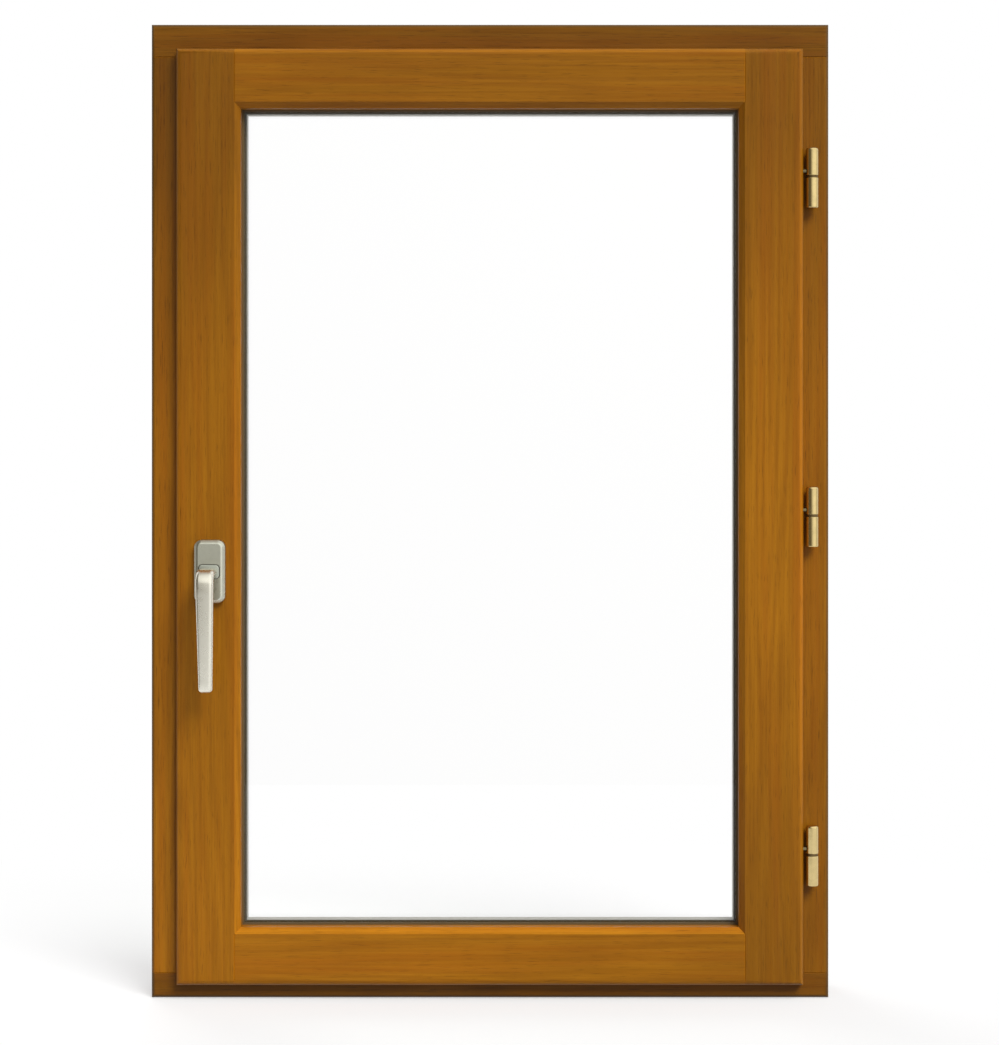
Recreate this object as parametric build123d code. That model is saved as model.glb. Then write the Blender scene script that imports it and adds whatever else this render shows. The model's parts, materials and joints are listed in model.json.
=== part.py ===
from build123d import *
import math
import os

# A side-hung wooden casement window that opens into the room, shut.
# Millimetres. X runs right as seen from the room, Y runs out of doors and Z runs up.
# The origin is the middle of the underside of the frame's sill.

# Fixed frame
frame_width = 700.0
frame_height = 1006.0
frame_depth = 58.0
head_face = 34.0
sill_face = 26.0
jamb_face = 36.0
frame_arris = 4.5
stop_thickness = 14.0
stop_rise = 15.0
stop_round = 2.0
sill_stop_rise = 10.0
sill_fall = 11.0
sill_nose = 14.0
sill_nose_thickness = 12.0
drip_groove = 4.0

# Opening sash: its lip lies over the room face of the frame, its body fills the rebate
lip_thickness = 16.0
lip_gap = 1.0
side_overlap = 8.5
top_overlap = 7.0
bottom_overlap = 10.0
rebate_clearance = 3.5
seal_gap = 3.0
stile_width = 66.5
top_rail_width = 61.5
bottom_rail_width = 59.5
sash_arris = 7.0
moulding = 6.0

# Corner joints
frame_tenon_thickness = 16.0
frame_tenon_width = 24.0
sash_tenon_thickness = 14.0
tenon_shoulder = 4.0
shoulder_groove = 0.6

# Sealed glass unit and what holds it
glazing_lip = 18.0
glazing_rebate = 15.0
glass_edge_clearance = 3.0
inner_seal_thickness = 3.0
outer_seal_thickness = 2.0
seal_lip = 2.0
pane_thickness = 4.0
pane_spacing = 14.0
spacer_height = 7.0
spacer_showing = 4.0
bead_bevel = 5.0
block_length = 80.0
block_inset = 86.0

# Seal between the sash and the frame's stop
weather_seal_width = 6.0

# Drip rail on the foot of the sash
drip_rail_height = 20.0
drip_rail_reach = 32.0
drip_rail_edge = 7.0
drip_rail_round = 6.0
drip_rail_clearance = 3.0

# Pin hinges
hinge_end = 133.0
barrel_radius = 6.4
barrel_gap = 2.6
barrel_stand = 10.0
sash_knuckle_length = 28.5
frame_knuckle_length = 31.0
washer_thickness = 2.5
washer_radius = 5.8
knuckle_crown = 2.0
hinge_pin_radius = 3.5
pin_clearance = 0.1
pin_in_frame = 24.0
pin_in_sash = 21.0
stem_radius = 2.5
stem_in_sash = 24.0
stem_in_frame = 22.0
sash_stem_rise = 4.6
frame_stem_drop = 14.0

# Handle
handle_backset = 36.0
handle_height = 426.0
rosette_width = 32.0
rosette_height = 65.0
rosette_thickness = 10.0
rosette_corner = 8.0
rosette_bevel = 3.5
bearing_radius = 7.5
bearing_clearance = 0.4
bearing_length = 7.0
collar_width = 22.0
collar_height = 15.0
collar_bevel = 4.0
collar_thickness = 3.0
collar_gap = 0.4
grip_stand = 50.0
grip_bend = 10.0
grip_width = 18.0
grip_thickness = 11.0
grip_bevel = 3.2
grip_end_width = 14.0
grip_end_thickness = 8.5
grip_end_bevel = 2.4
grip_return = 8.0
grip_length = 121.0
grip_tip_bevel = 2.0
spindle_size = 7.0
spindle_bore_radius = 6.0
spindle_bore_depth = 42.0
spindle_in_bend = 2.0
spindle_length = 74.0

# How near a face an edge has to lie to count as one of its edges
edge_tolerance = 0.01

# Places worked out from the sizes above
frame_front = -frame_depth / 2
frame_back = frame_depth / 2
stop_front = frame_back - stop_thickness
rebate_half = frame_width / 2 - jamb_face
rebate_bottom = sill_face
rebate_top = frame_height - head_face
lip_back = frame_front - lip_gap
sash_front = lip_back - lip_thickness
sash_back = stop_front - seal_gap
sash_half = rebate_half + side_overlap
sash_bottom = rebate_bottom - bottom_overlap
sash_top = rebate_top + top_overlap
body_half = rebate_half - rebate_clearance
body_bottom = rebate_bottom + rebate_clearance
body_top = rebate_top - rebate_clearance
light_half = sash_half - stile_width
light_bottom = sash_bottom + bottom_rail_width
light_top = sash_top - top_rail_width
glazing_front = sash_front + glazing_lip
inner_pane_front = glazing_front + inner_seal_thickness
inner_pane_back = inner_pane_front + pane_thickness
outer_pane_front = inner_pane_back + pane_spacing
unit_back = outer_pane_front + pane_thickness
bead_front = unit_back + outer_seal_thickness
sill_stop_top = rebate_bottom + sill_stop_rise
handle_x = handle_backset - sash_half
handle_z = sash_bottom + handle_height

pieces = {}


def panel(half, bottom, top, front, back):
    """Upright slab, equal to both sides of the middle of the window."""
    place = Pos(0, (front + back) / 2, (bottom + top) / 2)
    return place * Box(2 * half, back - front, top - bottom)


def light_panel(grow, front, back):
    """Slab as large as the wooden opening of the sash, grown by grow on every side."""
    return panel(light_half + grow, light_bottom - grow, light_top + grow, front, back)


def light_ring(outer, inner, front, back):
    """Rectangular ring round the wooden opening of the sash."""
    return light_panel(outer, front, back) - light_panel(inner, front, back)


def upright_prism(points, front, back):
    """Outline drawn on the face of the window as X and Z, carried from front to back."""
    outline = make_face(Polyline(*[(x, front, z) for x, z in points], close=True))
    return extrude(outline, amount=back - front, dir=(0, 1, 0))


def cross_member(points, half):
    """Section drawn as Y and Z, carried across the window from side to side."""
    section = make_face(Polyline(*[(-half, y, z) for y, z in points], close=True))
    return extrude(section, amount=2 * half, dir=(1, 0, 0))


def edges_at(solid, y):
    """Edges that lie in the upright face at y."""
    return solid.edges().filter_by_position(Axis.Y, y - edge_tolerance, y + edge_tolerance)


def opening_edges(solid, y, half, bottom, top):
    """Edges round an opening of the given half width and heights in the upright face at y."""
    return [edge for edge in edges_at(solid, y)
            if abs(edge.center().X) <= half + edge_tolerance
            and bottom - edge_tolerance <= edge.center().Z <= top + edge_tolerance]


def light_edges(solid, y):
    """Edges of the wooden opening of the sash in the upright face at y."""
    return opening_edges(solid, y, light_half, light_bottom, light_top)


def groove(length):
    """Bar along X whose lower edge cuts a fine V along the shoulder of a joint."""
    side = shoulder_groove * math.sqrt(2)
    return Rot(45, 0, 0) * Box(length, side, side)


def keep_pair(name, solid, axis, first, last):
    """Keeps the two solids of a pair as pieces of their own, in order along the axis."""
    pair = solid.solids().sort_by(axis)
    pieces[f"{name}_{first}"] = pair[0]
    pieces[f"{name}_{last}"] = pair[-1]


# Frame: head and sill run through, the jambs stand between them on tenons
def make_frame():
    half = frame_width / 2
    stop_half = rebate_half - stop_rise
    stop_top = rebate_top - stop_rise
    blank = panel(half, 0, frame_height, frame_front, frame_back)
    blank = fillet(edges_at(blank, frame_front), frame_arris)
    blank -= panel(rebate_half, rebate_bottom, rebate_top, frame_front, stop_front)
    blank -= panel(stop_half, rebate_bottom, stop_top, stop_front, frame_back)
    blank = fillet(opening_edges(blank, frame_back, stop_half, rebate_bottom, stop_top), stop_round)
    for height in (rebate_bottom, rebate_top):
        blank -= Pos(0, frame_front, height) * groove(frame_width)

    nose = frame_back + sill_nose
    nose_top = sill_stop_top - sill_fall
    nose_foot = nose_top - sill_nose_thickness
    groove_back = nose - drip_groove
    groove_front = groove_back - drip_groove
    weathering = cross_member([
        (stop_front, 0),
        (stop_front, sill_stop_top),
        (nose, nose_top),
        (nose, nose_foot),
        (groove_back, nose_foot),
        (groove_back, nose_foot + drip_groove),
        (groove_front, nose_foot + drip_groove),
        (groove_front, nose_foot),
        (frame_back, nose_foot),
        (frame_back, 0),
    ], half)
    sill_room = panel(half, 0, rebate_bottom, frame_front, stop_front)
    head_space = panel(half, rebate_top, frame_height, frame_front, frame_back)
    head_space += panel(half, stop_top, rebate_top, stop_front, frame_back)

    middle = (frame_front + stop_front) / 2
    front = middle - frame_tenon_thickness / 2
    back = middle + frame_tenon_thickness / 2
    inner = rebate_half + tenon_shoulder
    tenons = panel(inner + frame_tenon_width, 0, frame_height, front, back)
    tenons -= panel(inner, 0, frame_height, front, back)
    pieces["frame_head"] = (blank & head_space) - tenons
    pieces["frame_sill"] = (blank & sill_room) + weathering - tenons
    jambs = blank - head_space - sill_room - weathering + tenons
    keep_pair("frame_jamb", jambs, Axis.X, "left", "right")


# Sash: the stiles run through, the rails stand between them with mitred mouldings
def make_sash():
    lip = panel(sash_half, sash_bottom, sash_top, sash_front, lip_back)
    lip = fillet(edges_at(lip, sash_front), sash_arris)
    ring = lip + panel(body_half, body_bottom, body_top, lip_back, sash_back)
    ring -= light_panel(0, sash_front, glazing_front)
    ring = chamfer(light_edges(ring, sash_front), moulding)
    ring -= light_panel(glazing_rebate, glazing_front, sash_back)

    shoulder = light_half + moulding
    rail_spans = [(sash_bottom, light_bottom - moulding), (light_top + moulding, sash_top)]
    for low, high in rail_spans:
        upright_groove = Rot(0, 90, 0) * groove(high - low)
        for x in (-shoulder, shoulder):
            ring -= Pos(x, sash_front, (low + high) / 2) * upright_groove
    right_side = [
        (shoulder, sash_bottom),
        (shoulder, light_bottom - moulding),
        (light_half, light_bottom),
        (light_half, light_top),
        (shoulder, light_top + moulding),
        (shoulder, sash_top),
    ]
    left_side = [(-x, z) for x, z in reversed(right_side)]
    between = upright_prism(right_side + left_side, sash_front, glazing_front)
    rebate_side = light_half + glazing_rebate
    between += panel(rebate_side, sash_bottom, sash_top, glazing_front, sash_back)

    middle = (glazing_front + sash_back) / 2
    front = middle - sash_tenon_thickness / 2
    back = middle + sash_tenon_thickness / 2
    low_top = light_bottom - glazing_rebate - tenon_shoulder
    high_bottom = light_top + glazing_rebate + tenon_shoulder
    tenons = panel(body_half, body_bottom + tenon_shoulder, low_top, front, back)
    tenons += panel(body_half, high_bottom, body_top - tenon_shoulder, front, back)
    rails = (ring & between) + tenons
    stiles = ring - between - tenons
    bore = Pos(handle_x, sash_front + spindle_bore_depth / 2, handle_z) * Rot(90, 0, 0)
    stiles -= bore * Cylinder(spindle_bore_radius, spindle_bore_depth)
    for split in hinge_splits():
        stiles -= sash_stem(split, stem_radius + pin_clearance)
    keep_pair("sash_rail", rails, Axis.Z, "bottom", "top")
    keep_pair("sash_stile", stiles, Axis.X, "left", "right")


# Glass unit, its seals, and the mitred beads that hold it from outside
def make_glazing():
    pane_grow = glazing_rebate - glass_edge_clearance
    spacer_outside = spacer_height - spacer_showing
    pieces["glass_pane_inner"] = light_panel(pane_grow, inner_pane_front, inner_pane_back)
    pieces["glass_pane_outer"] = light_panel(pane_grow, outer_pane_front, unit_back)
    pieces["glass_spacer"] = light_ring(
        spacer_outside, -spacer_showing, inner_pane_back, outer_pane_front)
    pieces["glass_edge_sealant"] = light_ring(
        pane_grow, spacer_outside, inner_pane_back, outer_pane_front)
    pieces["glazing_seal_inner"] = light_ring(
        pane_grow, -seal_lip, glazing_front, inner_pane_front)
    pieces["glazing_seal_outer"] = light_ring(pane_grow, -seal_lip, unit_back, bead_front)

    beads = light_ring(glazing_rebate, 0, bead_front, sash_back)
    beads = chamfer(light_edges(beads, sash_back), bead_bevel)
    outer_half = light_half + glazing_rebate
    mitre = [
        (outer_half, light_bottom - glazing_rebate),
        (light_half, light_bottom),
        (light_half, light_top),
        (outer_half, light_top + glazing_rebate),
    ]
    upright = upright_prism(mitre, bead_front, sash_back)
    upright += upright_prism([(-x, z) for x, z in mitre], bead_front, sash_back)
    keep_pair("glazing_bead", beads & upright, Axis.X, "left", "right")
    keep_pair("glazing_bead", beads - upright, Axis.Z, "bottom", "top")

    foot = light_bottom - glazing_rebate
    setting_block = Box(block_length, unit_back - inner_pane_front, glass_edge_clearance)
    height = foot + glass_edge_clearance / 2
    depth = (inner_pane_front + unit_back) / 2
    place = light_half - block_inset
    pieces["glazing_blocks"] = Compound(children=[
        Pos(x, depth, height) * setting_block for x in (-place, place)
    ])


# Rubber seal on the frame's stop, squeezed by the back of the sash
def make_weather_seal():
    outer = panel(body_half, body_bottom, body_top, sash_back, stop_front)
    width = weather_seal_width
    inner = panel(body_half - width, body_bottom + width, body_top - width, sash_back, stop_front)
    pieces["weather_seal"] = outer - inner


# Weather board along the foot of the sash, which throws rain clear of the sill
def make_drip_rail():
    top = light_bottom - glazing_rebate
    bottom = top - drip_rail_height
    face = sash_back + drip_rail_reach
    groove_back = face - drip_groove
    groove_front = groove_back - drip_groove
    half = rebate_half - stop_rise - drip_rail_clearance
    rail = cross_member([
        (sash_back, bottom),
        (sash_back, top),
        (sash_back + drip_groove, top),
        (face, bottom + drip_rail_edge),
        (face, bottom),
        (groove_back, bottom),
        (groove_back, bottom + drip_groove),
        (groove_front, bottom + drip_groove),
        (groove_front, bottom),
    ], half)
    crest = [edge for edge in rail.edges().filter_by(Axis.X)
             if edge.center().Y > sash_back + edge_tolerance
             and edge.center().Z > bottom + drip_groove + edge_tolerance]
    pieces["drip_rail"] = fillet(crest, drip_rail_round)


def hinge_splits():
    """Heights of the joint between the knuckles of each hinge."""
    shift = (frame_knuckle_length - sash_knuckle_length) / 2
    lowest = sash_bottom + hinge_end
    highest = sash_top - hinge_end
    return [height + shift for height in (lowest, (lowest + highest) / 2, highest)]


def barrel_axis():
    """X and Y of the line that the three hinges turn on."""
    return sash_half + barrel_gap + barrel_radius, frame_front - barrel_stand


def sash_stem(split, radius):
    """Screw stem of a sash knuckle, from the barrel into the edge of the sash's lip."""
    x, y = barrel_axis()
    length = x - sash_half + stem_in_sash
    place = Pos(x - length / 2, y, split + washer_thickness / 2 + sash_stem_rise)
    return place * Rot(0, 90, 0) * Cylinder(radius, length)


def frame_stem(split, radius):
    """Screw stem of a frame knuckle, from the barrel into the face of the jamb."""
    x, y = barrel_axis()
    length = frame_front - y + stem_in_frame
    place = Pos(x, y + length / 2, split - washer_thickness / 2 - frame_stem_drop)
    return place * Rot(90, 0, 0) * Cylinder(radius, length)


def barrel(bottom, top, radius):
    """Round bar on the hinge line."""
    x, y = barrel_axis()
    return Pos(x, y, (bottom + top) / 2) * Cylinder(radius, top - bottom)


# Three hinges of two knuckles each, on a fixed steel pin with a bearing washer
def make_hinges():
    bore = hinge_pin_radius + pin_clearance
    for place, split in zip(("lower", "middle", "upper"), hinge_splits()):
        low = split - washer_thickness / 2
        high = split + washer_thickness / 2
        pin = barrel(low - pin_in_frame, high + pin_in_sash, hinge_pin_radius)
        hole = barrel(low - pin_in_frame, high + pin_in_sash + washer_thickness, bore)
        sash_knuckle = barrel(high, high + sash_knuckle_length, barrel_radius)
        sash_knuckle = chamfer(sash_knuckle.edges().sort_by(Axis.Z)[-1], knuckle_crown)
        frame_knuckle = barrel(low - frame_knuckle_length, low, barrel_radius)
        frame_knuckle = chamfer(frame_knuckle.edges().sort_by(Axis.Z)[0], knuckle_crown)
        sash_knuckle += sash_stem(split, stem_radius)
        frame_knuckle += frame_stem(split, stem_radius)
        pieces[f"hinge_{place}_sash_knuckle"] = sash_knuckle - hole
        pieces[f"hinge_{place}_frame_knuckle"] = frame_knuckle - hole
        pieces[f"hinge_{place}_pin"] = pin
        pieces[f"hinge_{place}_washer"] = barrel(low, high, washer_radius) - hole
        pieces["frame_jamb_right"] -= frame_stem(split, stem_radius + pin_clearance)


def turned_bar(front, back, radius):
    """Round bar about the line that the handle turns on, with that line at X and Z of nought."""
    return Pos(0, (front + back) / 2, 0) * Rot(90, 0, 0) * Cylinder(radius, back - front)


def bevelled_section(width, thickness, bevel):
    """Section of the lever's flat bar, with its four corners bevelled."""
    return chamfer(Rectangle(width, thickness).vertices(), bevel)


# Lever handle: a rosette on the stile, a turning lever and its square spindle
def make_handle():
    on_stile = Pos(handle_x, 0, handle_z)
    face = sash_front - rosette_thickness
    outline = RectangleRounded(rosette_width, rosette_height, rosette_corner)
    rosette = extrude(Plane.XZ.offset(-sash_front) * outline, amount=rosette_thickness)
    rosette = chamfer(edges_at(rosette, face), rosette_bevel)
    rosette -= turned_bar(face, sash_front, bearing_radius + bearing_clearance)
    pieces["handle_rosette"] = on_stile * rosette

    collar_back = face - collar_gap
    collar = bevelled_section(collar_width, collar_height, collar_bevel)
    lever = extrude(Plane.XZ.offset(-collar_back) * collar, amount=collar_thickness)
    lever += turned_bar(collar_back, collar_back + bearing_length, bearing_radius)
    grip_middle = sash_front - grip_stand + grip_thickness / 2
    bend_start = grip_middle + grip_bend
    section = bevelled_section(grip_width, grip_thickness, grip_bevel)
    end_section = bevelled_section(grip_end_width, grip_end_thickness, grip_end_bevel)
    neck = Plane((0, bend_start, 0), x_dir=(1, 0, 0), z_dir=(0, -1, 0)) * section
    lever += extrude(neck, amount=collar_back - bend_start, dir=(0, 1, 0))
    lever += revolve(neck, Axis((0, bend_start, -grip_bend), (1, 0, 0)), revolution_arc=90)
    top = Plane((0, grip_middle, -grip_bend), x_dir=(1, 0, 0), z_dir=(0, 0, -1))
    tip = Plane((0, grip_middle + grip_return, -grip_length), x_dir=(1, 0, 0), z_dir=(0, 0, -1))
    grip = loft([top * section, tip * end_section], ruled=True)
    lever += chamfer(grip.faces().sort_by(Axis.Z)[0].edges(), grip_tip_bevel)

    spindle_front = bend_start - spindle_in_bend
    spindle_back = spindle_front + spindle_length
    place = Pos(0, (spindle_front + spindle_back) / 2, 0)
    spindle = place * Box(spindle_size, spindle_length, spindle_size)
    pieces["handle_lever"] = on_stile * (lever - spindle)
    pieces["handle_spindle"] = on_stile * spindle


make_frame()
make_sash()
make_glazing()
make_weather_seal()
make_drip_rail()
make_hinges()
make_handle()

os.makedirs("parts", exist_ok=True)
for name, solid in pieces.items():
    export_step(solid, f"parts/{name}.step")
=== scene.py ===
import json
import math
import bmesh
import bpy
from mathutils import Matrix, Vector


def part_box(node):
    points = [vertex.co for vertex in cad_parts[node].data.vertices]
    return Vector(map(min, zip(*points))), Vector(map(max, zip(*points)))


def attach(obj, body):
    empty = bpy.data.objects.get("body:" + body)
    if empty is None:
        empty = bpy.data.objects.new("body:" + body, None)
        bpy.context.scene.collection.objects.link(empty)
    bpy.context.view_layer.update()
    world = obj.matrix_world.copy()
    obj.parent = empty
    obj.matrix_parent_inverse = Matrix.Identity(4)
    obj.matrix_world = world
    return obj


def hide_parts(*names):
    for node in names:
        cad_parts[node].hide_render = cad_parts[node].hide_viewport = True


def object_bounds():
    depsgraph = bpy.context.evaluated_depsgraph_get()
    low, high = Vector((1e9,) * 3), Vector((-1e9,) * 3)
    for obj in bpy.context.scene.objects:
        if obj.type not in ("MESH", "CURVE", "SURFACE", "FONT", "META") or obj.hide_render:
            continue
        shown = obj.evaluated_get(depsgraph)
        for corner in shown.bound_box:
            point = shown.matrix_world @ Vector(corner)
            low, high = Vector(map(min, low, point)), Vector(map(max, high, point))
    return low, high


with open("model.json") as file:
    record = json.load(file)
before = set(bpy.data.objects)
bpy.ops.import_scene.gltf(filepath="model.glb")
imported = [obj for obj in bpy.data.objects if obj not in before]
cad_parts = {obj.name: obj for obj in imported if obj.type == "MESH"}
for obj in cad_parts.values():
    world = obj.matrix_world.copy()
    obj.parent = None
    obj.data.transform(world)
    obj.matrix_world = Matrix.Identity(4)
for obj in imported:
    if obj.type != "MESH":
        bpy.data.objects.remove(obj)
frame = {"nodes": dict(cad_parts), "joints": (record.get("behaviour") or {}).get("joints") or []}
cad_low, cad_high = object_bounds()

# The camera stands level in front of the window, a little above its middle, with a long
# lens, so that the stiles and rails stay upright and square, as in the photograph.
photo_width, photo_height = 999, 1045
frame_foot_pixel = (490, 998)
pixel_size = 0.001033
picture_height = photo_height * pixel_size
frame_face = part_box("frame_head")[0].y
camera_distance = 2.4
camera_right = 0.04
camera_up = 0.578
middle_right = (photo_width / 2 - frame_foot_pixel[0]) * pixel_size
middle_up = (frame_foot_pixel[1] - photo_height / 2) * pixel_size

camera = bpy.data.objects.new("camera", bpy.data.cameras.new("camera"))
bpy.context.collection.objects.link(camera)
camera.location = (camera_right, frame_face - camera_distance, camera_up)
camera.rotation_euler = (math.pi / 2, 0, 0)
camera.data.lens = camera.data.sensor_width * camera_distance / picture_height
camera.data.shift_x = (middle_right - camera_right) / picture_height
camera.data.shift_y = (middle_up - camera_up) / picture_height
bpy.context.scene.camera = camera
bpy.context.scene.view_settings.view_transform = "Standard"


# The studio: white behind the window and through its glass, and in front of it a room for
# metal and varnish that is bright at the upper right and dim at the left. The plain light
# on the object is the world's, a broad lamp's in the room and a weaker one's out of doors.
def add_node(tree, kind, inputs, **settings):
    """Adds a shader node; an input is a plain value or another node's output."""
    node = tree.nodes.new(kind)
    for name, value in settings.items():
        setattr(node, name, value)
    for socket, value in inputs.items():
        if isinstance(value, bpy.types.NodeSocket):
            tree.links.new(value, node.inputs[socket])
        else:
            node.inputs[socket].default_value = value
    return node


def mix_colours(tree, share, first, second, way="MIX"):
    """Blends two colours by a share from 0 to 1, and gives the result's output."""
    # A colour mix keeps its factor, first and second colour at inputs 0, 6 and 7
    node = add_node(tree, "ShaderNodeMix", {0: share, 6: first, 7: second},
                    data_type="RGBA", blend_type=way)
    return node.outputs[2]


def remap(tree, value, low, high, to_low, to_high):
    """Carries a value smoothly from one range to another."""
    node = add_node(tree, "ShaderNodeMapRange", {
        "Value": value, "From Min": low, "From Max": high, "To Min": to_low, "To Max": to_high,
    }, interpolation_type="SMOOTHSTEP")
    return node.outputs["Result"]


def arithmetic(tree, operation, *values):
    """Makes one step of arithmetic, and gives its output."""
    return add_node(tree, "ShaderNodeMath", dict(enumerate(values)), operation=operation).outputs[0]


white = (1, 1, 1, 1)
ambient_light = (0.30, 0.30, 0.30, 1)
room_bright = (1.35, 1.33, 1.27, 1)
room_dim = (0.14, 0.12, 0.085, 1)
bright_side = Vector((0.55, -0.60, 0.58)).normalized()
world = bpy.data.worlds.new("studio")
bpy.context.scene.world = world
world.use_nodes = True
studio = world.node_tree
rays = add_node(studio, "ShaderNodeLightPath", {})
heading = add_node(studio, "ShaderNodeTexCoord", {})
toward_bright_side = add_node(studio, "ShaderNodeVectorMath", {
    0: heading.outputs["Generated"], 1: bright_side,
}, operation="DOT_PRODUCT").outputs["Value"]
brightness = remap(studio, toward_bright_side, 0.22, 0.90, 0, 1)
room = mix_colours(studio, brightness, room_dim, room_bright)
axes = add_node(studio, "ShaderNodeSeparateXYZ", {"Vector": heading.outputs["Generated"]})
toward_backdrop = remap(studio, axes.outputs["Y"], 0.0, 0.35, 0, 1)
room = mix_colours(studio, toward_backdrop, room, white)
light = mix_colours(studio, rays.outputs["Is Glossy Ray"], ambient_light, room)
clear_view = arithmetic(studio, "MAXIMUM", rays.outputs["Is Camera Ray"], rays.outputs["Is Transmission Ray"])
light = mix_colours(studio, clear_view, light, white)
studio.links.new(light, studio.nodes["Background"].inputs["Color"])


def add_lamp(name, kind, energy, place, target):
    """Adds a lamp that shines from a place to a target."""
    lamp = bpy.data.objects.new(name, bpy.data.lights.new(name, kind))
    bpy.context.collection.objects.link(lamp)
    lamp.data.energy = energy
    lamp.location = place
    lamp.rotation_euler = (Vector(target) - Vector(place)).to_track_quat("-Z", "Y").to_euler()
    return lamp


window_middle = Vector(((cad_low.x + cad_high.x) / 2, 0, (cad_low.z + cad_high.z) / 2))
key_strength = 2.85
key_place = window_middle + Vector((1.1, -1.9, 2.0))
key_softness = math.radians(30)
back_watts = 30.0
back_place = (-1.1, 2.2, 1.8)
back_size = 1.6
key_lamp = add_lamp("key_lamp", "SUN", key_strength, key_place, window_middle)
key_lamp.data.angle = key_softness
back_lamp = add_lamp("back_lamp", "AREA", back_watts, back_place, window_middle)
back_lamp.data.size = back_size
for lamp in (key_lamp, back_lamp):
    lamp.visible_camera = False
    lamp.visible_glossy = False
    lamp.visible_transmission = False

# The floor is a plain pale sheet that fades into the white behind the window. To the light
# that it throws back on the object it is a grey one.
floor_size = 3.0
floor_drop = 0.0004
floor_white = (0.98, 0.98, 0.98, 1)
bounce_grey = (0.16, 0.155, 0.145, 1)
fade_start, fade_end = 0.15, 1.0
glow_at_start = 0.45
bpy.ops.mesh.primitive_plane_add(size=floor_size, location=(0, 0, -floor_drop))
floor = bpy.context.object
floor.name = "studio_floor"
floor_finish = bpy.data.materials.new("studio_floor")
floor_finish.use_nodes = True
tree = floor_finish.node_tree
tree.nodes.remove(tree.nodes["Principled BSDF"])
floor_place = add_node(tree, "ShaderNodeTexCoord", {}).outputs["Object"]
floor_reach = add_node(tree, "ShaderNodeVectorMath", {0: floor_place}, operation="LENGTH")
floor_fade = remap(tree, floor_reach.outputs["Value"], fade_start, fade_end, glow_at_start, 1)
pale = add_node(tree, "ShaderNodeBsdfDiffuse", {"Color": floor_white})
glow = add_node(tree, "ShaderNodeEmission", {"Color": white, "Strength": 1.0})
shown_floor = add_node(tree, "ShaderNodeMixShader", {
    0: floor_fade, 1: pale.outputs[0], 2: glow.outputs[0],
})
grey = add_node(tree, "ShaderNodeBsdfDiffuse", {"Color": bounce_grey})
rays = add_node(tree, "ShaderNodeLightPath", {})
floor_mix = add_node(tree, "ShaderNodeMixShader", {
    0: rays.outputs["Is Diffuse Ray"], 1: shown_floor.outputs[0], 2: grey.outputs[0],
})
tree.links.new(floor_mix.outputs[0], tree.nodes["Material Output"].inputs["Surface"])
floor.data.materials.append(floor_finish)


# The fixed frame: head and sill run through, the jambs stand between them on tenons.
# Planed hardwood, stained golden brown and brushed with a satin varnish. Its outer rounded edge is
# darkened with painted shade.
window_height = cad_high.z
arris_width = 0.0045
# The arris colour and its share are painted shade on the frame's outer rounded edge
arris_shade_colour = (0.055, 0.038, 0.012, 1)
frame_arris_shade = 0.65
# Painted light: how much paler the slanted faces of the mouldings are made
moulding_painted_light = 1.28
pale_wood = (0.365, 0.140, 0.0045, 1)
dark_wood = (0.262, 0.093, 0.0028, 1)
red_wood = (0.330, 0.098, 0.0028, 1)
varnish_gloss = 0.20
ring_bands = 30.0


def new_finish(name):
    """A new material, with its node tree and its shader."""
    material = bpy.data.materials.new(name)
    material.use_nodes = True
    return material, material.node_tree, material.node_tree.nodes["Principled BSDF"]


def stretched_noise(tree, place, scales, detail, roughness=0.55):
    """Noise that is finer or coarser along each axis; scales are features a metre."""
    stretch = add_node(tree, "ShaderNodeMapping", {"Vector": place, "Scale": scales})
    noise = add_node(tree, "ShaderNodeTexNoise", {
        "Vector": stretch.outputs["Vector"], "Scale": 1.0, "Detail": detail, "Roughness": roughness,
    })
    return noise.outputs["Fac"]


def shaded(tree, colour, shade):
    """Makes a colour darker or lighter: a shade of 1 leaves it as it is."""
    return mix_colours(tree, 1.0, colour, shade, "MULTIPLY")


def flatness(tree):
    """How squarely a surface faces the room or the open air: 1 where it does, 0 on its edges."""
    way = add_node(tree, "ShaderNodeTexCoord", {}).outputs["Normal"]
    axes = add_node(tree, "ShaderNodeSeparateXYZ", {"Vector": way})
    return arithmetic(tree, "ABSOLUTE", axes.outputs["Y"])


def outer_arris(tree, place):
    """How near a point is to the rounded front edge round the outside of the frame: 1 on it."""
    axes = add_node(tree, "ShaderNodeSeparateXYZ", {"Vector": place})
    half_height = window_height / 2
    from_middle = arithmetic(tree, "SUBTRACT", axes.outputs["Z"], half_height)
    shares = []
    for reach, half in ((axes.outputs["X"], cad_high.x), (from_middle, half_height)):
        distance = arithmetic(tree, "ABSOLUTE", reach)
        shares.append(remap(tree, distance, half - arris_width, half - arris_width / 3, 0, 1))
    front = remap(tree, axes.outputs["Y"], frame_face + arris_width, frame_face + 2 * arris_width, 1, 0)
    return arithmetic(tree, "MULTIPLY", arithmetic(tree, "MAXIMUM", *shares), front)


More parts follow.
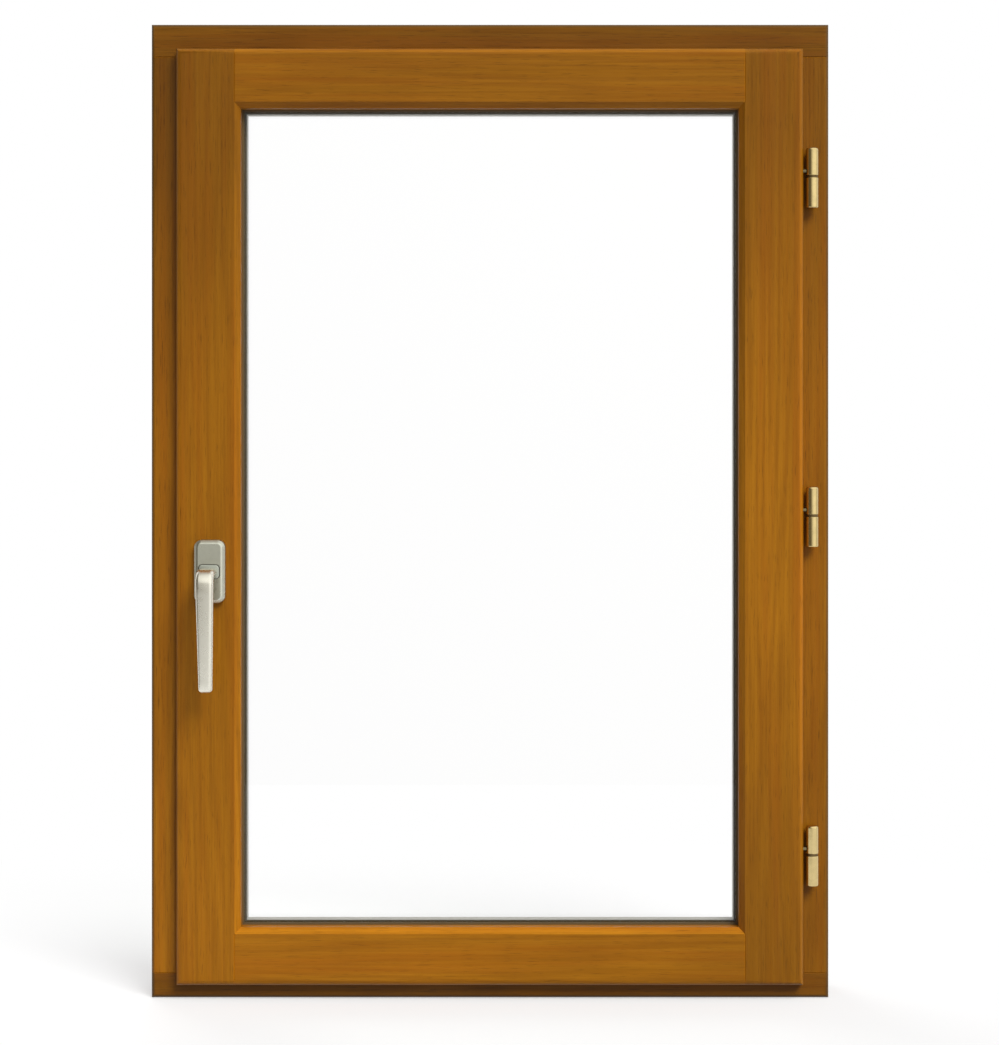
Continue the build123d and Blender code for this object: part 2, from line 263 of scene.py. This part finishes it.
def varnished_wood(name, grain, shift, tones_and_painted_light, arris_shade=0.0):
    """Varnished wood with its grain along "X" or "Z", cut from its own place in the plank.
    The three tone values give how pale it is at the foot, at mid height and at the head of the window:
    partly each member's own tone and partly painted light and shade, paler where more light falls
    and darker where less does. The arris value is how far painted shade darkens its outer rounded edge."""
    material, tree, shader = new_finish(name)
    place = add_node(tree, "ShaderNodeTexCoord", {}).outputs["Object"]
    plank = add_node(tree, "ShaderNodeMapping", {"Vector": place, "Location": shift})
    plank = plank.outputs["Vector"]

    def along_grain(across, along):
        return (along, across, across) if grain == "X" else (across, across, along)

    rings = stretched_noise(tree, plank, along_grain(16, 0.9), 2)
    rings = arithmetic(tree, "PINGPONG", arithmetic(tree, "MULTIPLY", rings, ring_bands), 1.0)
    fibres = stretched_noise(tree, plank, along_grain(420, 7), 6, 0.62)
    streaks = stretched_noise(tree, plank, along_grain(70, 2.2), 4)
    pores = stretched_noise(tree, plank, along_grain(1500, 45), 2)
    clouds = stretched_noise(tree, plank, (7, 7, 4), 3)

    ring_share = remap(tree, rings, 0.0, 1.0, 0.0, 0.38)
    fibre_share = remap(tree, fibres, 0.3, 0.7, 0.0, 0.62)
    colour = mix_colours(tree, arithmetic(tree, "ADD", ring_share, fibre_share), pale_wood, dark_wood)
    colour = mix_colours(tree, remap(tree, streaks, 0.42, 0.72, 0.0, 0.55), colour, red_wood)
    colour = shaded(tree, colour, remap(tree, pores, 0.30, 0.42, 0.62, 1.0))
    colour = shaded(tree, colour, remap(tree, clouds, 0.3, 0.7, 0.93, 1.07))

    # Painted light and shade: the colour is made paler or darker along the height of the window
    height = add_node(tree, "ShaderNodeSeparateXYZ", {"Vector": place}).outputs["Z"]
    foot, middle, head = tones_and_painted_light
    low_tone_and_light = remap(tree, height, 0, window_height * 0.45, foot, middle)
    high_tone_and_light = remap(tree, height, window_height * 0.5, window_height * 0.97, 1.0, head / middle)
    colour = shaded(tree, colour, arithmetic(tree, "MULTIPLY", low_tone_and_light, high_tone_and_light))

    # Painted light: the slanted faces of the mouldings, and of the rounded edges, are made paler
    squareness = flatness(tree)
    not_side = remap(tree, squareness, 0.50, 0.62, 0, 1)
    not_front = remap(tree, squareness, 0.90, 0.97, 1, 0)
    slanted = arithmetic(tree, "MULTIPLY", not_side, not_front)
    colour = shaded(tree, colour, remap(tree, slanted, 0, 1, 1.0, moulding_painted_light))
    # Painted shade: the frame's outer rounded edge is darkened towards the arris colour
    if arris_shade:
        arris_painted_shade = remap(tree, outer_arris(tree, place), 0, 1, 0, arris_shade)
        colour = mix_colours(tree, arris_painted_shade, colour, arris_shade_colour)
    tree.links.new(colour, shader.inputs["Base Color"])

    roughness = remap(tree, fibres, 0.3, 0.7, 0.34, 0.46)
    tree.links.new(roughness, shader.inputs["Roughness"])
    shader.inputs["Specular IOR Level"].default_value = varnish_gloss
    relief = arithmetic(tree, "ADD", pores, fibres)
    bump = add_node(tree, "ShaderNodeBump", {"Height": relief, "Strength": 0.25, "Distance": 0.0004})
    tree.links.new(bump.outputs["Normal"], shader.inputs["Normal"])
    return material


smooth_angle = math.radians(32)


def shade_smooth(mesh):
    """Shades a mesh as smooth, except across its sharp edges."""
    for edge in mesh.edges:
        edge.smooth = len(edge.link_faces) == 2 and edge.calc_face_angle() < smooth_angle
    for face in mesh.faces:
        face.smooth = True


def keep_flats_flat(piece):
    """Lets the large flat faces of a piece set the shading at their edges."""
    weighting = piece.modifiers.new("keep_flats_flat", "WEIGHTED_NORMAL")
    weighting.keep_sharp = True


def smoothed_copy(node, material):
    """A welded copy of a CAD piece whose rounded edges are shaded as round."""
    piece = bpy.data.objects.new(f"{node}_finished", frame["nodes"][node].data.copy())
    bpy.context.collection.objects.link(piece)
    mesh = bmesh.new()
    mesh.from_mesh(piece.data)
    bmesh.ops.remove_doubles(mesh, verts=mesh.verts, dist=1e-6)
    shade_smooth(mesh)
    mesh.to_mesh(piece.data)
    mesh.free()
    piece.data.materials.clear()
    piece.data.materials.append(material)
    keep_flats_flat(piece)
    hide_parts(node)
    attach(piece, "window")


# Each member has its grain, its place in the plank, and its tones from foot to head: partly its own
# tone and partly painted light and shade, paler or darker as the light falls on it
frame_members = {
    "frame_head": ("X", (0.31, 0.12, 0.70), (0.58, 0.58, 0.60)),
    "frame_sill": ("X", (1.70, 0.44, 0.10), (0.62, 0.74, 0.78)),
    "frame_jamb_left": ("Z", (0.90, 0.31, 0.20), (1.22, 0.96, 0.50)),
    "frame_jamb_right": ("Z", (2.10, 0.77, 0.50), (0.86, 0.95, 0.72)),
}
for node, (grain, shift, tones_and_painted_light) in frame_members.items():
    smoothed_copy(node, varnished_wood(node, grain, shift, tones_and_painted_light, frame_arris_shade))

# The opening sash: two stiles that run through and two rails between them, with a bevelled
# moulding mitred round the glass. The same hardwood and varnish, each member its own plank.
# Their tones from foot to head are partly their own and partly painted light and shade
sash_members = {
    "sash_stile_left": ("Z", (3.40, 0.52, 0.00), (1.16, 1.02, 0.66)),
    "sash_stile_right": ("Z", (4.10, 0.05, 0.33), (0.90, 1.14, 0.75)),
    "sash_rail_top": ("X", (0.20, 0.63, 1.30), (0.90, 0.90, 0.90)),
    "sash_rail_bottom": ("X", (2.90, 0.28, 0.66), (1.15, 1.15, 1.15)),
}
for node, (grain, shift, tones_and_painted_light) in sash_members.items():
    smoothed_copy(node, varnished_wood(node, grain, shift, tones_and_painted_light))

# Outside, mitred beads hold the glass, and a weather board on the foot of the sash throws
# the rain clear of the sill. They are planed from the same wood.
# Their tones from foot to head are partly their own and partly painted light and shade
outside_members = {
    "glazing_bead_left": ("Z", (5.20, 0.10, 0.40), (1.0, 1.0, 0.85)),
    "glazing_bead_right": ("Z", (5.70, 0.20, 0.10), (1.0, 1.0, 0.85)),
    "glazing_bead_top": ("X", (1.10, 0.90, 0.20), (0.9, 0.9, 0.9)),
    "glazing_bead_bottom": ("X", (1.60, 0.80, 0.90), (1.0, 1.0, 1.0)),
    "drip_rail": ("X", (0.70, 0.35, 0.55), (0.95, 0.95, 0.95)),
}
for node, (grain, shift, tones_and_painted_light) in outside_members.items():
    smoothed_copy(node, varnished_wood(node, grain, shift, tones_and_painted_light))

# The sealed unit: two panes of clear float glass on a perforated metal spacer that is bonded
# to them with dark butyl, closed round its edge with a dark sealant.
glass_clearness = (0.95, 0.96, 0.95, 1)
spacer_aluminium = (0.44, 0.42, 0.37, 1)
spacer_hole = (0.10, 0.095, 0.08, 1)
holes_per_metre = 330.0
butyl = (0.105, 0.075, 0.038, 1)
glass, tree, shader = new_finish("clear_float_glass")
shader.inputs["Base Color"].default_value = white
shader.inputs["Roughness"].default_value = 0.0
shader.inputs["IOR"].default_value = 1.45
shader.inputs["Transmission Weight"].default_value = 1.0
rays = add_node(tree, "ShaderNodeLightPath", {})
soft_light = arithmetic(tree, "MAXIMUM", rays.outputs["Is Shadow Ray"], rays.outputs["Is Diffuse Ray"])
clear = add_node(tree, "ShaderNodeBsdfTransparent", {"Color": glass_clearness})
pane = add_node(tree, "ShaderNodeMixShader", {0: soft_light, 1: shader.outputs[0], 2: clear.outputs[0]})
tree.links.new(pane.outputs[0], tree.nodes["Material Output"].inputs["Surface"])

spacer_metal, tree, shader = new_finish("perforated_spacer")
place = add_node(tree, "ShaderNodeTexCoord", {}).outputs["Object"]
holes = add_node(tree, "ShaderNodeTexVoronoi", {
    "Vector": place, "Scale": holes_per_metre, "Randomness": 0.0,
})
hole_share = remap(tree, holes.outputs["Distance"], 0.16, 0.24, 1.0, 0.0)
colour = mix_colours(tree, hole_share, spacer_aluminium, spacer_hole)
colour = mix_colours(tree, remap(tree, flatness(tree), 0.4, 0.6, 0, 1), colour, butyl)
tree.links.new(colour, shader.inputs["Base Color"])
shader.inputs["Metallic"].default_value = 0.2
shader.inputs["Roughness"].default_value = 0.5


def soft_rubber(name, colour, grain_size):
    """Matt extruded rubber with a fine skin."""
    material, tree, shader = new_finish(name)
    place = add_node(tree, "ShaderNodeTexCoord", {}).outputs["Object"]
    skin = stretched_noise(tree, place, (grain_size,) * 3, 3)
    shade = remap(tree, skin, 0.3, 0.7, 0.88, 1.1)
    tree.links.new(shaded(tree, colour, shade), shader.inputs["Base Color"])
    bump = add_node(tree, "ShaderNodeBump", {"Height": skin, "Strength": 0.3, "Distance": 0.0001})
    tree.links.new(bump.outputs["Normal"], shader.inputs["Normal"])
    shader.inputs["Roughness"].default_value = 0.62
    return material


def dress(node, material):
    """Gives a CAD piece its finish, with its shape as it is."""
    piece = frame["nodes"][node]
    if not piece.material_slots:
        piece.data.materials.append(material)
    for place in piece.material_slots:
        place.material = material


dress("glass_pane_inner", glass)
dress("glass_pane_outer", glass)
dress("glass_spacer", spacer_metal)
dress("glass_edge_sealant", soft_rubber("edge_sealant", (0.02, 0.02, 0.02, 1), 900))

# Seals: strips of dark brown rubber bed the glass in the wood on both faces, and one more
# on the frame's stop is squeezed by the back of the sash. Plastic blocks carry the glass.
seal_rubber = soft_rubber("glazing_rubber", (0.125, 0.085, 0.038, 1), 1400)
for node in ("glazing_seal_inner", "glazing_seal_outer"):
    dress(node, seal_rubber)
dress("weather_seal", soft_rubber("weather_rubber", (0.05, 0.03, 0.018, 1), 1200))
dress("glazing_blocks", soft_rubber("block_plastic", (0.03, 0.03, 0.032, 1), 500))


# Three drill-in hinges of solid brass. Each has a knuckle screwed into the edge of the sash
# above one screwed into the jamb, turning on a steel pin, and a narrower bronze washer
# between the two leaves a dark groove.
def bright_metal(name, colour, roughness, lines, spots=0.06, rim_shade=None):
    """Turned or brushed metal. lines are how many fine marks a metre run along each axis,
    spots is how far its patina varies, and the rim colour, when given, is painted shade on its rims."""
    material, tree, shader = new_finish(name)
    place = add_node(tree, "ShaderNodeTexCoord", {}).outputs["Object"]
    marks = stretched_noise(tree, place, lines, 3, 0.6)
    patina = stretched_noise(tree, place, (140, 140, 140), 4)
    shade = remap(tree, patina, 0.3, 0.75, 1.0 + spots, 1.0 - spots)
    tint = shaded(tree, colour, shade)
    # Painted shade: when a rim colour is given, the faces that don't face the room take it
    if rim_shade:
        tint = mix_colours(tree, remap(tree, flatness(tree), 0.70, 0.98, 0, 1), rim_shade, tint)
    tree.links.new(tint, shader.inputs["Base Color"])
    rough = remap(tree, patina, 0.3, 0.7, roughness - 0.03, roughness + 0.04)
    tree.links.new(rough, shader.inputs["Roughness"])
    shader.inputs["Metallic"].default_value = 1.0
    bump = add_node(tree, "ShaderNodeBump", {"Height": marks, "Strength": 0.05, "Distance": 0.00005})
    tree.links.new(bump.outputs["Normal"], shader.inputs["Normal"])
    return material


def round_edges(mesh, edges, size, steps, clamp=False):
    """Bevels edges, rounder with more steps; clamp keeps the bevels from crossing."""
    return bmesh.ops.bevel(mesh, geom=edges, offset=size, offset_type="OFFSET", segments=steps,
                           profile=0.5, affect="EDGES", material=-1, clamp_overlap=clamp)


def round_bar(mesh, radius, length, foot_round, head_round, matrix, finish=0):
    """Adds a turned bar that stands on the origin of matrix, with its rims rounded; finish
    is the number of its material."""
    made = bmesh.ops.create_cone(mesh, cap_ends=True, segments=56, radius1=radius, radius2=radius,
                                 depth=length, matrix=Matrix.Translation((0, 0, length / 2)))
    verts = set(made["verts"])
    for height, size in ((0, foot_round), (length, head_round)):
        rim = [edge for edge in mesh.edges
               if all(v in verts and abs(v.co.z - height) < 1e-6 for v in edge.verts)]
        verts.update(round_edges(mesh, rim, size, 6, clamp=True)["verts"])
    verts = {v for v in verts if v.is_valid}
    bmesh.ops.transform(mesh, matrix=matrix, verts=list(verts))
    for face in mesh.faces:
        if verts.issuperset(face.verts):
            face.material_index = finish


def finish_piece(name, mesh, materials, body, nodes, keep_flats=True):
    """Turns a bmesh into a smooth-shaded piece that stands for CAD nodes and moves with a body;
    keep_flats is off where a bend runs into a flat with no edge between them."""
    bmesh.ops.recalc_face_normals(mesh, faces=mesh.faces)
    shade_smooth(mesh)
    data = bpy.data.meshes.new(name)
    mesh.to_mesh(data)
    mesh.free()
    piece = bpy.data.objects.new(name, data)
    bpy.context.collection.objects.link(piece)
    for material in materials:
        data.materials.append(material)
    if keep_flats:
        keep_flats_flat(piece)
    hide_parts(*nodes)
    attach(piece, body)


hinge_brass = bright_metal("hinge_brass", (0.64, 0.50, 0.235, 1), 0.20, (60, 60, 4000))
stem_steel = bright_metal("stem_steel", (0.20, 0.165, 0.09, 1), 0.40, (60, 60, 60))
washer_bronze = bright_metal("washer_bronze", (0.16, 0.11, 0.05, 1), 0.42, (60, 60, 60))
pin_steel = bright_metal("pin_steel", (0.62, 0.61, 0.58, 1), 0.25, (60, 60, 2000))
stem_radius = 0.002
stem_hidden = 0.004
sash_stem_rise = 0.0046
frame_stem_drop = 0.014
stem_finish = 1
knuckle_crowns = {"sash": 0.0024, "frame": 0.0012}
knuckle_rim = 0.0003
washer_rim = 0.0006
quarter_turn = math.pi / 2
sash_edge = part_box("sash_stile_right")[1].x
for level in ("lower", "middle", "upper"):
    washer_low, washer_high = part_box(f"hinge_{level}_washer")
    axis_x = (washer_low.x + washer_high.x) / 2
    axis_y = (washer_low.y + washer_high.y) / 2
    for side in ("sash", "frame"):
        node = f"hinge_{level}_{side}_knuckle"
        low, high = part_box(node)
        if side == "sash":
            radius = high.x - axis_x
            stand = Matrix.Translation((axis_x, axis_y, washer_high.z))
            stem_place = (axis_x, axis_y, low.z + sash_stem_rise)
            stem = Matrix.Translation(stem_place) @ Matrix.Rotation(-quarter_turn, 4, "Y")
            stem_length = axis_x - sash_edge + stem_hidden
        else:
            radius = axis_y - low.y
            stand = Matrix.Translation((axis_x, axis_y, washer_low.z)) @ Matrix.Rotation(math.pi, 4, "X")
            stem_place = (axis_x, axis_y, high.z - frame_stem_drop)
            stem = Matrix.Translation(stem_place) @ Matrix.Rotation(-quarter_turn, 4, "X")
            stem_length = frame_face - axis_y + stem_hidden
        mesh = bmesh.new()
        round_bar(mesh, radius, high.z - low.z, knuckle_rim, knuckle_crowns[side], stand)
        round_bar(mesh, stem_radius, stem_length, knuckle_rim, knuckle_rim, stem, stem_finish)
        finish_piece(f"{node}_turned", mesh, [hinge_brass, stem_steel], "window", [node])
    mesh = bmesh.new()
    washer_radius = (washer_high.x - washer_low.x) / 2
    thickness = washer_high.z - washer_low.z
    stand = Matrix.Translation((axis_x, axis_y, washer_low.z))
    round_bar(mesh, washer_radius, thickness, washer_rim, washer_rim, stand)
    finish_piece(f"hinge_{level}_washer_turned", mesh, [washer_bronze], "window",
                 [f"hinge_{level}_washer"])
    dress(f"hinge_{level}_pin", pin_steel)

# The handle's rosette: a cast aluminium plate with rounded corners and a wide bevelled rim,
# satin finished, that hides the two screws behind it.
rosette_metal = bright_metal("rosette_aluminium", (0.56, 0.57, 0.49, 1), 0.30, (900, 900, 40), 0.04)
rosette_corner = 0.008
rosette_bevel = 0.0035
edge_softness = 0.0011
shallow_edge, steep_edge = math.radians(30), math.radians(60)


def round_cornered_block(mesh, low, high, corner, front_bevel, steps):
    """Adds a block with its corners rounded as seen from the room and its front rim bevelled."""
    before = set(mesh.edges)
    size = Matrix.Diagonal((*(high - low), 1))
    bmesh.ops.create_cube(mesh, size=1.0, matrix=Matrix.Translation((low + high) / 2) @ size)
    corners = [edge for edge in mesh.edges
               if edge not in before and abs(edge.verts[0].co.y - edge.verts[1].co.y) > 1e-4]
    round_edges(mesh, corners, corner, 12)
    rim = [edge for edge in mesh.edges
           if edge not in before and all(abs(v.co.y - low.y) < 1e-6 for v in edge.verts)]
    round_edges(mesh, rim, front_bevel, steps)


mesh = bmesh.new()
round_cornered_block(mesh, *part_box("handle_rosette"), rosette_corner, rosette_bevel, 1)
bevel_rims = [edge for edge in mesh.edges
              if len(edge.link_faces) == 2 and shallow_edge < edge.calc_face_angle() < steep_edge]
round_edges(mesh, bevel_rims, edge_softness, 4)
finish_piece("handle_rosette_plate", mesh, [rosette_metal], "window",
             ["handle_rosette"])

# The lever: a flat aluminium bar bent square off its oblong collar. It thickens through the
# bend, narrows towards its end and leans a little back to the sash, with well rounded edges.
# The collar's rim is painted dark where it meets the rosette: painted shade of the gap between them.
collar_rim_shade = (0.045, 0.038, 0.028, 1)
grip_metal = bright_metal("grip_aluminium", (0.78, 0.76, 0.67, 1), 0.28, (900, 900, 30), 0.03)
collar_metal = bright_metal("collar_aluminium", (0.50, 0.53, 0.47, 1), 0.32, (900, 900, 900), 0.04,
                            collar_rim_shade)
spindle_steel = bright_metal("spindle_steel", (0.55, 0.55, 0.53, 1), 0.35, (50, 900, 50))
grip_width, grip_thickness = 0.018, 0.011
grip_end_width, grip_end_thickness = 0.014, 0.0085
grip_edge_round = 0.0050
grip_return = 0.008
grip_steps = 10
neck_thickness = 0.008
bend_radius = 0.010
bend_steps = 10
collar_height = 0.015
collar_thickness = 0.003
collar_corner = 0.004
collar_softness = 0.0014
collar_gap = 0.0004
collar_finish = 1
joint = next(j for j in frame["joints"] if j["name"] == "handle_turn")
turn_x, turn_z = joint["pos_m"][0], joint["pos_m"][2]
lever_low, lever_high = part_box("handle_lever")
rosette_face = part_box("handle_rosette")[0].y
collar_back = rosette_face - collar_gap
collar_front = collar_back - collar_thickness
grip_middle = lever_low.y + grip_thickness / 2
grip_top = turn_z - bend_radius
grip_length = grip_top - lever_low.z
bend_start = grip_middle + bend_radius
bend_centre = Vector((turn_x, bend_start, grip_top))


def drawn_out(mesh, face, matrix):
    """Extrudes a face and moves its new end by a matrix; gives the new end face."""
    made = bmesh.ops.extrude_face_region(mesh, geom=[face])
    ends = [item for item in made["geom"] if isinstance(item, bmesh.types.BMFace)]
    verts = [item for item in made["geom"] if isinstance(item, bmesh.types.BMVert)]
    bmesh.ops.transform(mesh, matrix=matrix, verts=verts)
    bmesh.ops.delete(mesh, geom=[face], context="FACES_ONLY")
    return ends[0]


def grip_station(share):
    """The grip's middle, width and thickness, a share of the way from its bend to its end."""
    middle = Vector((turn_x, grip_middle + grip_return * share, grip_top - grip_length * share))
    width = grip_width + (grip_end_width - grip_width) * share
    thickness = grip_thickness + (grip_end_thickness - grip_thickness) * share
    return middle, width, thickness


# The bar is drawn out of the collar, round the bend and down to its end
mesh = bmesh.new()
bmesh.ops.create_grid(mesh, x_segments=1, y_segments=1, size=0.5)
face = mesh.faces[:][0]
neck_section = Matrix.Rotation(quarter_turn, 4, "X") @ Matrix.Diagonal((grip_width, neck_thickness, 1, 1))
bmesh.ops.transform(mesh, verts=mesh.verts,
                    matrix=Matrix.Translation((turn_x, collar_front, turn_z)) @ neck_section)
face = drawn_out(mesh, face, Matrix.Translation((0, bend_start - collar_front, 0)))
turn = Matrix.Rotation(quarter_turn / bend_steps, 4, "X")
thickening = (grip_thickness / neck_thickness) ** (1 / bend_steps)
outward = Vector((0, 0, 1))
for _ in range(bend_steps):
    bar_middle = bend_centre + bend_radius * outward
    thicken = (Matrix.Translation(bar_middle) @ Matrix.Scale(thickening, 4, outward)
               @ Matrix.Translation(-bar_middle))
    face = drawn_out(mesh, face, Matrix.Translation(bend_centre) @ turn
                     @ Matrix.Translation(-bend_centre) @ thicken)
    outward = turn.to_3x3() @ outward
for step in range(grip_steps):
    middle, width, thickness = grip_station(step / grip_steps)
    next_middle, next_width, next_thickness = grip_station((step + 1) / grip_steps)
    taper = Matrix.Diagonal((next_width / width, next_thickness / thickness, 1, 1))
    face = drawn_out(mesh, face, Matrix.Translation(next_middle) @ taper @ Matrix.Translation(-middle))
bmesh.ops.remove_doubles(mesh, verts=mesh.verts, dist=1e-7)
bmesh.ops.holes_fill(mesh, edges=mesh.edges)
bmesh.ops.recalc_face_normals(mesh, faces=mesh.faces)
long_edges = [edge for edge in mesh.edges
              if len(edge.link_faces) == 2 and edge.calc_face_angle() > steep_edge]
round_edges(mesh, long_edges, grip_edge_round, 8, clamp=True)

# The collar is one casting with the bar, and keeps its own satin finish
grip_faces = set(mesh.faces)
collar_low = Vector((lever_low.x, collar_front, turn_z - collar_height / 2))
collar_high = Vector((lever_high.x, collar_back, turn_z + collar_height / 2))
round_cornered_block(mesh, collar_low, collar_high, collar_corner, collar_softness, 4)
for face in mesh.faces:
    if face not in grip_faces:
        face.material_index = collar_finish
finish_piece("handle_lever_bar", mesh, [grip_metal, collar_metal], "handle",
             ["handle_lever"], keep_flats=False)
dress("handle_spindle", spindle_steel)
